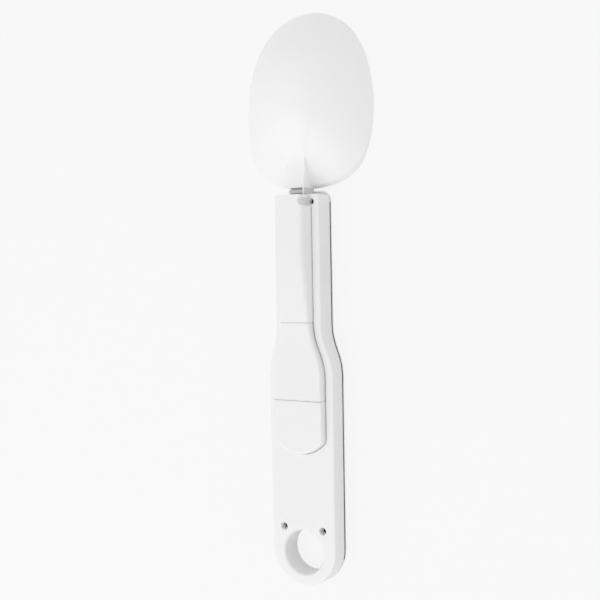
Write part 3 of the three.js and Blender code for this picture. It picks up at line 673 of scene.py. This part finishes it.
def drum(radius: float, low: float, high: float, x: float, y: float, upper: float = 0) -> bpy.types.Object:
    """Make an upright cylinder or cone.

    Args:
        radius: Its radius in millimetres, or its lower one.
        low: The height of its lower end.
        high: The height of its upper end.
        x: Where its axis stands.
        y: Where its axis stands.
        upper: Its upper radius, where it isn't the lower one.

    Returns:
        The cylinder or cone.
    """
    steps = DRUM_STEPS
    turns = [step / steps * math.tau for step in range(steps)]
    levels = ((radius, low), (upper or radius, high))
    points = [(x + r * math.cos(turn), y + r * math.sin(turn), z) for r, z in levels for turn in turns]
    sides = [(i, (i + 1) % steps, (i + 1) % steps + steps, i + steps) for i in range(steps)]
    ends = [tuple(range(steps - 1, -1, -1)), tuple(range(steps, 2 * steps))]
    return piece_from("drum", points, sides + ends)


def funnel(
    outer: float, inner: float, upper: float, low: float, high: float, x: float, y: float
) -> bpy.types.Object:
    """Make an upright ring whose bore opens upwards.

    Args:
        outer: The ring's outer radius in millimetres.
        inner: Its bore's radius at the lower end.
        upper: Its bore's radius at the upper end.
        low: The height of its lower end.
        high: The height of its upper end.
        x: Where its axis stands.
        y: Where its axis stands.

    Returns:
        The ring.
    """
    spread = (upper - inner) / (high - low) * OVERRUN
    bore = drum(inner - spread, low - OVERRUN, high + OVERRUN, x, y, upper + spread)
    return carve(drum(outer, low, high, x, y), bore, Cut.REMOVE)


def eased(share: float) -> float:
    """Return a share held between 0 and 1 that starts and ends slowly."""
    held = min(max(share, 0.0), 1.0)
    return held * held * (3 - 2 * held)


def outward(piece: bpy.types.Object) -> bpy.types.Object:
    """Turn all the faces of a closed piece outwards.

    Args:
        piece: The piece that changes.

    Returns:
        The piece.
    """
    form = bmesh.new()
    form.from_mesh(piece.data)
    bmesh.ops.recalc_face_normals(form, faces=form.faces)
    form.to_mesh(piece.data)
    form.free()
    return piece


def smooth(piece: bpy.types.Object, angle: float = 35, weight: int = 80) -> bpy.types.Object:
    """Shade a piece smoothly.

    Args:
        piece: The piece that changes.
        angle: Edges sharper than this stay sharp, in degrees.
        weight: How much the larger faces lead the shading.

    Returns:
        The piece.
    """
    piece.data.shade_smooth()
    piece.data.set_sharp_from_angle(angle=math.radians(angle))
    normals = piece.modifiers.new("flats", "WEIGHTED_NORMAL")
    normals.keep_sharp = True
    normals.weight = weight
    settle(piece)
    return piece


def fine_copy(node: str, edge: float, reshape: Union[Reshape, None] = None) -> bpy.types.Object:
    """Make a node's solid anew with its flats cleaned, its form refined and its edges broken.

    Args:
        node: The CAD node that it stands for.
        edge: How far the edges are broken, in millimetres.
        reshape: What refines the form before its edges are broken, if anything does.

    Returns:
        The new piece, which replaces the node.
    """
    form = bmesh.new()
    form.from_mesh(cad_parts[node].data)
    bmesh.ops.remove_doubles(form, verts=form.verts, dist=WELD * MM)
    flat = math.radians(FLAT_ANGLE)
    bmesh.ops.dissolve_limit(
        form, angle_limit=flat, verts=form.verts, edges=form.edges, use_dissolve_boundaries=False
    )
    mesh = bpy.data.meshes.new(node + "_fine")
    form.to_mesh(mesh)
    form.free()
    piece = shown(node + "_fine", mesh)
    if reshape:
        reshape(piece)
    bevel = piece.modifiers.new("edges", "BEVEL")
    bevel.width = edge * MM
    bevel.segments = EDGE_SEGMENTS
    bevel.limit_method = "ANGLE"
    bevel.angle_limit = math.radians(EDGE_ANGLE)
    bevel.use_clamp_overlap = True
    settle(piece)
    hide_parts(node)
    return smooth(piece)


def dress(piece: bpy.types.Object, finish: bpy.types.Material, body: str) -> bpy.types.Object:
    """Give a new piece its finish and its body.

    Args:
        piece: The piece that changes.
        finish: Its material.
        body: The body that it rides on.

    Returns:
        The piece.
    """
    piece.data.materials.clear()
    piece.data.materials.append(finish)
    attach(piece, body)
    return piece


def refinish(node: str, finish: bpy.types.Material) -> None:
    """Give a CAD node that stays a better finish."""
    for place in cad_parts[node].material_slots:
        place.material = finish


# The spoon's sub-assemblies


@dataclass
class Bowl:
    """The bowl with its stem and the tongue under the load cell, in millimetres."""

    half_width: float = 29.75
    heel: float = 44.9
    tip: float = 116
    depth: float = 19.5
    wall: float = 1.5
    rim: float = 0.35
    rim_bends: tuple[float, ...] = (22.5, 45, 67.5)
    skew: float = 0.08
    waist: float = 0.152
    heel_waist: float = 0.033
    heel_flat: float = 0.47
    power: float = 2.3
    heel_lift: float = 4.3
    heel_slope: float = 0.3
    heel_bend: float = 1.4
    heel_lip: float = 0.022
    turns: int = 192
    rings: int = 56
    keel: float = 0.4
    keel_line: tuple[tuple[float, float], ...] = ((50, 4), (59.5, 6.2), (70, 10.7), (81, 12.7), (90, 13.4))
    keel_soft: float = 1.4
    keel_fade: tuple[float, float] = (76, 90)
    tries: int = 40
    try_share: float = 0.8
    first_reach: float = 0.5
    least_reach: float = 1e-6
    smooth_angle: float = 32
    # the bowl's finish, with painted shade on the stem where it leaves the handle
    finish: StemShadedPlastic = StemShadedPlastic("bowl_gloss", grey(254), 0.26)

    def build(self) -> None:
        """Make the bowl and dress it."""
        arm = Stem()
        stem = carve(arm.build(self), self.hollow(), Cut.REMOVE)
        piece = carve(self.shell(), stem, Cut.JOIN)
        arm.drill(piece)
        piece.name = "spoon_bowl_fine"
        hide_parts("spoon_bowl")
        smooth(piece, self.smooth_angle)
        dress(piece, self.finish.material(), Body.HOUSING.value)
        LOG.info("bowl: %d faces", len(piece.data.polygons))

    @property
    def middle(self) -> float:
        """Return where the bowl's middle lies along the spoon."""
        return (self.tip + self.heel) / 2

    @property
    def half_length(self) -> float:
        """Return half the bowl's length."""
        return (self.tip - self.heel) / 2

    def placed(self, reach: float, turn: float, height: float) -> Point:
        """Place a point on the egg.

        Args:
            reach: The share of the outline.
            turn: The turn round the bowl in radians.
            height: The point's height.

        Returns:
            The point.
        """
        sine = math.sin(turn)
        heelward = max(-sine, 0.0)
        waist = self.heel_waist if heelward else self.waist
        width = self.half_width * (1 - self.skew * sine + waist * sine * sine)
        length = self.half_length
        if heelward:
            length *= heelward ** ((self.heel_flat - 1) * heelward)
        return (reach * math.cos(turn) * width, self.middle + reach * sine * length, height)

    def lifted(self, reach: float, turn: float) -> float:
        """Tell how far the dome stands up over its plain curve near the heel.

        Args:
            reach: The share of the outline.
            turn: The turn round the bowl in radians.

        Returns:
            The lift.
        """
        inside = 1 - reach
        slope = max(1 - inside / self.heel_slope, 0.0)
        lip = max(1 - inside / self.heel_lip, 0.0)
        lift = self.heel_lift * max(-math.sin(turn), 0.0) ** 2
        return lift * slope**self.heel_bend * math.sqrt(max(1 - lip * lip, 0.0))

    def dome(self, reach: float, low: float, high: float) -> list[tuple[float, float]]:
        """Draw a dome's profile from its rim to its crown.

        Args:
            reach: The share of the outline at the rim.
            low: The rim's height.
            high: The crown's height.

        Returns:
            Shares of the outline and heights.
        """
        shares = [math.cos(step / self.rings * math.pi / 2) for step in range(self.rings)]
        rising = [(share * reach, low + (high - low) * (1 - share**self.power)) for share in shares]
        return [*rising, (0.0, high)]

    def height(self, x: float, y: float) -> float:
        """Find the dome's height over a place by closing in on its reach and turn.

        Args:
            x: The place across the spoon.
            y: The place along the spoon.

        Returns:
            The height.
        """
        aim_x, aim_y = x / self.half_width, (y - self.middle) / self.half_length
        aim_turn, aim_reach = math.atan2(aim_y, aim_x), math.hypot(aim_x, aim_y)
        turn, reach = aim_turn, self.first_reach
        for _ in range(self.tries):
            px, py, _ = self.placed(reach, turn, 0)
            at_x, at_y = px / self.half_width, (py - self.middle) / self.half_length
            turn += aim_turn
            turn -= math.atan2(at_y, at_x)
            reach *= (aim_reach / max(math.hypot(at_x, at_y), self.least_reach)) ** self.try_share
        top = self.depth - self.keel
        plain = self.rim + (top - self.rim) * max(1 - reach**self.power, 0.0)
        return plain + self.lifted(min(reach, 1.0), turn)

    def ridge(self, x: float, y: float) -> float:
        """Tell how far the keel's fan stands up.

        Args:
            x: The place across the spoon.
            y: The place along the spoon.

        Returns:
            The fan's height over the dome.
        """
        edge = self.keel_line[0][1]
        for (y0, x0), (y1, x1) in zip(self.keel_line, self.keel_line[1:]):
            if y >= y0:
                edge = x0 + (x1 - x0) * min((y - y0) / (y1 - y0), 1)
        inside = eased((edge - abs(x)) / self.keel_soft + 0.5)
        start, end = self.keel_fade
        return self.keel * inside * eased((end - y) / (end - start))

    def revolved(
        self, name: str, profile: list[tuple[float, float]], inner: float, fan: int = 0
    ) -> bpy.types.Object:
        """Make a closed body whose rings follow the egg.

        Args:
            name: The piece's name.
            profile: Shares of the outline and heights, which start and end on the axis.
            inner: The share of the outline at which the inside of the wall starts.
            fan: The first ring that carries the keel, or 0 for none.

        Returns:
            The new piece.
        """
        points = [self.placed(0, 0, profile[0][1])]
        for ring, (reach, height) in enumerate(profile[1:-1], start=1):
            outside = bool(fan) and ring >= fan
            for step in range(self.turns):
                turn = step / self.turns * math.tau
                x, y, z = self.placed(reach, turn, height)
                if height > self.rim:
                    z += self.lifted(reach if outside else reach / inner, turn)
                points.append((x, y, z + (self.ridge(x, y) if outside else 0)))
        x, y, z = self.placed(0, 0, profile[-1][1])
        points.append((x, y, z + (self.ridge(x, y) if fan else 0)))
        last = len(points) - 1
        rows = len(profile) - 2
        faces = [(0, 1 + (step + 1) % self.turns, 1 + step) for step in range(self.turns)]
        for row in range(rows - 1):
            first = 1 + row * self.turns
            for step in range(self.turns):
                a, b = first + step, first + (step + 1) % self.turns
                faces.append((a, b, b + self.turns, a + self.turns))
        top = 1 + (rows - 1) * self.turns
        faces += [(top + step, top + (step + 1) % self.turns, last) for step in range(self.turns)]
        return outward(piece_from(name, points, faces))

    def shell(self) -> bpy.types.Object:
        """Make the bowl without its stem.

        Returns:
            The dome with its wall and rounded rim.
        """
        wall, rim = self.wall / self.half_width, self.rim / self.half_width
        inner = self.dome(1 - wall, self.rim, self.depth - self.wall)
        outer = self.dome(1, self.rim, self.depth - self.keel)
        bends = [math.radians(angle) for angle in self.rim_bends]
        under = [(1 - wall + rim * (1 - math.cos(turn)), self.rim * (1 - math.sin(turn))) for turn in bends]
        over = [(1 - rim + rim * math.sin(turn), self.rim * (1 - math.cos(turn))) for turn in bends]
        foot = [(1 - wall + rim, 0), (1 - rim, 0)]
        profile = [*reversed(inner), *under, *foot, *over, *outer]
        return self.revolved("bowl_shell", profile, 1 - wall, len(profile) - len(outer) + 1)

    def hollow(self) -> bpy.types.Object:
        """Fill the bowl.

        Returns:
            The space inside it as a solid.
        """
        share = 1 - self.wall / self.half_width
        inner = self.dome(share, self.rim, self.depth - self.wall)
        return self.revolved("bowl_hollow", [(0.0, -OVERRUN), (share, -OVERRUN), *inner], share)


@dataclass
class Stem:
    """The stem with its two grooves, which flows into the dome, and the tongue behind it."""

    half: float = 3.65
    root_half: float = 5.2
    root_rise: float = 0.3
    bottom: float = 3.2
    top: float = 11.4
    inner: float = 39
    root: tuple[float, float] = (44.9, 60)
    root_steps: int = 18
    end: float = 67
    blend: float = 1.6
    sink: tuple[float, float] = (58, 67)
    sink_depth: float = 1.0
    corner: float = 0.4
    across: int = 12
    corner_steps: int = 4
    groove: float = 0.75
    groove_depth: float = 1.8
    band_depth: float = 0.7
    low: float = 41.85
    high: float = 43.85
    tongue_half: float = 3.7
    tongue_near: float = 28.2
    tongue: tuple[float, float] = (3.6, 7.8)
    screws: tuple[float, float] = (30.7, 35.5)
    bore: float = 1.05
    head_bore: float = 1.9
    head_depth: float = 1.3

    def crown(self, bowl: Bowl, x: float, y: float) -> float:
        """Find the height of the stem's top, which rises into the dome.

        Args:
            bowl: The bowl that carries the stem.
            x: The place across the spoon.
            y: The place along the spoon.

        Returns:
            The height.
        """
        start, end = self.root
        if y <= start:
            return self.top
        line = self.top + self.root_rise * min((y - start) / (end - start), 1)
        dome = bowl.height(x, y) + bowl.ridge(x, y)
        apart = max(self.blend - abs(line - dome), 0.0) / self.blend
        higher = max(line, dome) + apart * apart * self.blend / 4
        return higher - self.sink_depth * eased((y - self.sink[0]) / (self.sink[1] - self.sink[0]))

    def section(self, bowl: Bowl, y: float, depth: float) -> list[Point]:
        """Draw a section of the stem.

        Args:
            bowl: The bowl that carries the stem.
            y: The place along the spoon.
            depth: How far its top is cut down, except on the corner at its right.

        Returns:
            The section's ring of points.
        """
        start, end = self.root
        share = min(max((y - start) / (end - start), 0.0), 1.0)
        half = self.half + (self.root_half - self.half) * share
        turns = [step / self.corner_steps * math.pi / 2 for step in range(self.corner_steps + 1)]
        bend = self.corner
        spots = [(half - bend * (1 - math.cos(turn)), bend * (1 - math.sin(turn))) for turn in turns]
        flat = half - bend
        spots += [(flat * (1 - 2 * step / self.across), 0.0) for step in range(1, self.across)]
        spots += [(-x, drop) for x, drop in reversed(spots[: self.corner_steps + 1])]
        ring = [(x, y, self.crown(bowl, x, y) - drop - (depth if x < flat else 0)) for x, drop in spots]
        return [(half, y, self.bottom), *ring, (-half, y, self.bottom)]

    def steps(self) -> list[tuple[float, float]]:
        """List the sections along the stem.

        Returns:
            Places along the spoon and how far the top is cut down there.
        """
        start, groove, deep, band = self.root[0], self.groove, self.groove_depth, self.band_depth
        near, far = self.low + groove, self.high + groove
        cuts = [(self.low, 0.0), (self.low, deep), (near, deep), (near, band)]
        cuts += [(self.high, band), (self.high, deep), (far, deep), (far, 0.0)]
        count = self.root_steps
        rise = [(start + (self.end - start) * step / count, 0.0) for step in range(count + 1)]
        return [(self.inner, 0.0), *cuts, *rise]

    def build(self, bowl: Bowl) -> bpy.types.Object:
        """Make the stem and the tongue.

        Args:
            bowl: The bowl whose dome the stem rises into.

        Returns:
            Both as one solid.
        """
        rings = [self.section(bowl, y, depth) for y, depth in self.steps()]
        count = len(rings[0])
        sides = [(i, (i + 1) % count) for i in range(count)]
        faces = []
        for row in range(len(rings) - 1):
            here, there = row * count, (row + 1) * count
            faces += [(here + i, here + j, there + j, there + i) for i, j in sides]
        last = len(rings) * count
        faces += [tuple(range(count)), tuple(range(last - 1, last - count - 1, -1))]
        stem = outward(piece_from("stem", [point for ring in rings for point in ring], faces))
        bottom, top = self.tongue
        near = (-self.tongue_half, self.tongue_near, bottom)
        far = (self.tongue_half, self.inner + OVERRUN, top)
        return carve(stem, block(near, far), Cut.JOIN)

    def drill(self, piece: bpy.types.Object) -> None:
        """Bore the two screw holes and their counterbores through the tongue.

        Args:
            piece: The bowl with its tongue.
        """
        bottom, top = self.tongue
        for y in self.screws:
            carve(piece, drum(self.bore, bottom - OVERRUN, top + OVERRUN, 0, y), Cut.REMOVE)
            head = drum(self.head_bore, bottom - OVERRUN, bottom + self.head_depth, 0, y)
            carve(piece, head, Cut.REMOVE)


@dataclass
class Handle:
    """The two shells of the handle and the three pieces of its raised back."""

    edge: float = 0.12
    neck_end: float = 41.85
    neck_cut: Point = (12, 46, 13)
    end_wall: tuple[Point, Point] = ((4.4, 40.55, 3.95), (8.5, 41.85, 10.5))
    gap: tuple[float, float] = (2.0, 3.0)
    gap_half: float = 20
    gap_span: tuple[float, float] = (-120, 39)
    hole: Point = (0, -102.3, 10.8)
    wells: tuple[tuple[float, ...], ...] = (
        (1.5, 0.95, 1.3, 8.3, 10.8, 6.7, 38.9),
        (1.95, 1.3, 1.55, 6.95, 10.05, 9.1, -92.6),
    )
    shell: MouldedPlastic = MouldedPlastic("shell_satin", grey(249), 0.4)
    # the front shell's finish, with painted shade on its rim standing for the gap's shadow
    rim_shaded: RimShadedPlastic = RimShadedPlastic("rim_painted_shade_satin", grey(249), 0.4)
    cover: MouldedPlastic = MouldedPlastic("cover_satin", grey(249), 0.38)

    def build(self) -> None:
        """Make the shells and covers and dress them."""
        shell, rim_shaded, cover = (finish.material() for finish in (self.shell, self.rim_shaded, self.cover))
        pieces = (
            ("rear_shell", shell, "rear_plastic", Body.HOUSING, self.refine_rear),
            ("front_shell", rim_shaded, "front_plastic", Body.HOUSING, None),
            ("spine_cover", cover, "cover_plastic", Body.HOUSING, None),
            ("middle_plate", cover, "cover_plastic", Body.HOUSING, None),
            ("battery_cover", cover, "cover_plastic", Body.DOOR, None),
        )
        for node, finish, slot, body, reshape in pieces:
            piece = fine_copy(node, self.edge, reshape)
            dress(piece, finish, body.value)
            LOG.info("%s: %d faces", node, len(piece.data.polygons))

    def refine_rear(self, piece: bpy.types.Object) -> None:
        """Draw the neck end back, open the shadow gap under the rim and narrow the wells.

        Args:
            piece: The back shell, which changes.
        """
        low, high = self.gap
        side, far, sky = self.neck_cut
        carve(piece, block((-side, self.neck_end, low), (side, far, sky)), Cut.REMOVE)
        (x0, y0, z0), (x1, y1, z1) = self.end_wall
        carve(piece, block((x0, y0, z0), (x1, y1, z1)), Cut.JOIN)
        carve(piece, block((-x1, y0, z0), (-x0, y1, z1)), Cut.JOIN)
        x, y, radius = self.hole
        around = drum(radius, low - OVERRUN, high + OVERRUN, x, y)
        tail, neck = self.gap_span
        slab = block((-self.gap_half, tail, low), (self.gap_half, neck, high))
        carve(piece, carve(slab, around, Cut.REMOVE), Cut.REMOVE)
        for *sizes, across, along in self.wells:
            for spot in (-across, across):
                carve(piece, funnel(*sizes, spot, along), Cut.JOIN)


@dataclass
class Screws:
    """The four housing screws that show in their wells, and those inside."""

    edge: float = 0.06
    blacked: DrawnMetal = DrawnMetal("blacked_steel", (0.02, 0.02, 0.022), 0.45, (1, 1, 0.3))
    bright: DrawnMetal = DrawnMetal("bright_steel", (0.55, 0.56, 0.57), 0.3, (1, 1, 0.3))
    seen: tuple[str, ...] = ("neck_screw_left", "neck_screw_right", "tail_screw_left", "tail_screw_right")
    hidden: tuple[str, ...] = (
        "cell_screw_1",
        "cell_screw_2",
        "bowl_screw_1",
        "bowl_screw_2",
        "board_screw_left",
        "board_screw_right",
    )

    def build(self) -> None:
        """Make the screws and dress them."""
        blacked, bright = self.blacked.material(), self.bright.material()
        for node in self.seen:
            dress(fine_copy(node, self.edge), blacked, Body.HOUSING.value)
        for node in self.hidden:
            refinish(node, bright)
        LOG.info("screws: %d shown, %d inside", len(self.seen), len(self.hidden))


@dataclass
class Weighing:
    """The load cell, its gauges and the ribbon."""

    beam: DrawnMetal = DrawnMetal("milled_aluminium", (0.7, 0.71, 0.73), 0.32, (1, 0.08, 1))
    coat: CoatedSurface = CoatedSurface("gauge_silicone", (0.78, 0.77, 0.72), 0.5, 0.8, 0.03)
    ribbon: FlatRibbon = FlatRibbon("gauge_ribbon_film", (0.32, 0.2, 0.07))

    def build(self) -> None:
        """Dress the nodes, which stay as they are."""
        refinish("load_cell", self.beam.material())
        refinish("gauge_coat", self.coat.material())
        refinish("gauge_ribbon", self.ribbon.material())
        LOG.info("weighing parts dressed")


@dataclass
class Electronics:
    """The circuit board with what stands on it, the display and the battery."""

    mask: SolderMask = SolderMask("board_mask", (0.02, 0.13, 0.05))
    epoxy: CoatedSurface = CoatedSurface("chip_epoxy", (0.012, 0.012, 0.013), 0.28, 1.2, 0.03)
    rubber: CoatedSurface = CoatedSurface("zebra_rubber", (0.09, 0.09, 0.1), 0.7, 0.2)
    switch: CoatedSurface = CoatedSurface("switch_body", (0.03, 0.03, 0.032), 0.5, 0.3)
    glass: SegmentGlass = SegmentGlass("display_glass", (0.36, 0.41, 0.33))
    coin: DrawnMetal = DrawnMetal("coin_steel", (0.62, 0.62, 0.63), 0.24, (0.1, 1, 1))
    contact: DrawnMetal = DrawnMetal("sprung_contact", (0.66, 0.65, 0.6), 0.3, (0.1, 1, 1))
    window: ClearPlastic = ClearPlastic("clear_window", (0.93, 0.95, 0.95))

    def build(self) -> None:
        """Dress the nodes, which stay as they are."""
        dressed = (
            (self.mask, ("circuit_board",)),
            (self.epoxy, ("chip_blob",)),
            (self.rubber, ("zebra_upper", "zebra_lower")),
            (self.switch, ("tact_switch_power", "tact_switch_tare", "tact_switch_unit")),
            (self.contact, ("contact_negative", "contact_positive")),
            (self.glass, ("lcd",)),
            (self.window, ("display_lens",)),
            (self.coin, ("coin_cell",)),
        )
        for finish, nodes in dressed:
            material = finish.material()
            for node in nodes:
                refinish(node, material)
        LOG.info("electronics dressed")


@dataclass
class Buttons:
    """The three push buttons on the front."""

    edge: float = 0.08
    names: tuple[str, ...] = ("power", "tare", "unit")
    plastic: MouldedPlastic = MouldedPlastic("button_satin", grey(228), 0.42)

    def build(self) -> None:
        """Make the buttons and dress them."""
        plastic = self.plastic.material()
        for name in self.names:
            node = f"button_{name}"
            dress(fine_copy(node, self.edge), plastic, node)
        LOG.info("buttons: %d", len(self.names))


# Studio


@dataclass
class Studio:
    """A plain pale floor, a soft light from the lower left and an even sky."""

    reach: float = 6.0
    drop: float = 0.15
    white: float = 248
    floor_own: float = 251.5
    floor_paint: float = 238
    shown_share: float = 0.85
    sky: float = 0.78
    key_share: float = 0.265
    key_way: Point = (-0.3, -0.6, 0.74)
    key_distance: float = 1.5
    key_size: float = 2.0

    def build(self) -> None:
        """Make the floor, the sky and the light."""
        self.build_floor()
        self.build_sky()
        self.build_key()
        bpy.context.scene.view_settings.view_transform = "Standard"
        LOG.info("studio built")

    def build_floor(self) -> None:
        """Make the floor, whose white is partly its own so that its shadow stays soft."""
        half, low = self.reach / 2 / MM, -self.drop
        points = [(-half, -half, low), (half, -half, low), (half, half, low), (-half, half, low)]
        floor = piece_from("floor", points, [(0, 1, 2, 3)])
        shader = Shader.named("pale_floor")
        paint = shader.add("ShaderNodeBsdfDiffuse", {}, {"Color": grey(self.floor_paint)})
        own = shader.add("ShaderNodeEmission", {}, {"Color": grey(self.floor_own), "Strength": 1.0})
        share = shader.seen_rays() * self.shown_share
        surface = shader.add("ShaderNodeMixShader", {}, {0: share, 1: paint, 2: own})
        floor.data.materials.append(shader.finish(surface))

    def build_sky(self) -> None:
        """Make the even sky, which is white where it is seen."""
        world = bpy.data.worlds.new("even_sky")
        bpy.context.scene.world = world
        shader = Shader(world)
        lit = shader.add("ShaderNodeBackground", {}, {"Color": (1.0, 1.0, 1.0), "Strength": self.sky})
        seen = shader.add("ShaderNodeBackground", {}, {"Color": grey(self.white), "Strength": 1.0})
        sky = shader.add("ShaderNodeMixShader", {}, {0: shader.seen_rays(), 1: lit, 2: seen})
        shader.finish(sky, "ShaderNodeOutputWorld")

    def build_key(self) -> None:
        """Make the soft light."""
        lamp = bpy.data.lights.new("key", "AREA")
        lamp.shape = "DISK"
        lamp.size = self.key_size
        lamp.energy = self.key_share * math.pi**2 * self.key_distance**2
        key = shown("key", lamp)
        way = Vector(self.key_way).normalized()
        key.location = way * self.key_distance
        key.rotation_euler = way.to_track_quat("Z", "Y").to_euler()


@dataclass
class PhotoCamera:
    """The photograph's viewpoint: almost over the spoon, from its right side."""

    target: Point = (-2.774, -0.318, 5.0)
    distance: float = 384.95
    yaw: float = 31.88
    pitch: float = -1.377
    roll: float = -1.022
    focal: float = 944.46
    frame_width: float = 600
    sensor: float = 36
    nearest: float = 10

    def build(self) -> None:
        """Make the camera and point it."""
        yaw, pitch, roll = (math.radians(angle) for angle in (self.yaw, self.pitch, self.roll))
        right = Vector((math.cos(yaw), 0, -math.sin(yaw)))
        back = Vector((math.sin(yaw), 0, math.cos(yaw)))
        up = Vector((0, 1, 0))
        tilted_up = math.cos(pitch) * up + math.sin(pitch) * back
        tilted_back = math.cos(pitch) * back - math.sin(pitch) * up
        rolled_right = math.cos(roll) * right + math.sin(roll) * tilted_up
        rolled_up = math.cos(roll) * tilted_up - math.sin(roll) * right
        place = Vector(self.target) + tilted_back * self.distance
        lens = bpy.data.cameras.new("photo_camera")
        lens.sensor_fit = "HORIZONTAL"
        lens.sensor_width = self.sensor
        lens.lens = self.focal / self.frame_width * self.sensor
        lens.clip_start = self.nearest * MM
        camera = shown("photo_camera", lens)
        turn = Matrix((rolled_right, rolled_up, tilted_back)).transposed().to_4x4()
        camera.matrix_world = Matrix.Translation(place * MM) @ turn
        bpy.context.scene.camera = camera
        LOG.info("camera built")


def main() -> None:
    """Build the camera, the studio and the spoon."""
    logging.basicConfig(level=logging.INFO, format="%(name)s: %(message)s")
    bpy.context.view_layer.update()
    PhotoCamera().build()
    Studio().build()
    for assembly in (Bowl(), Handle(), Screws(), Weighing(), Electronics(), Buttons()):
        assembly.build()


if __name__ == "__main__":
    main()
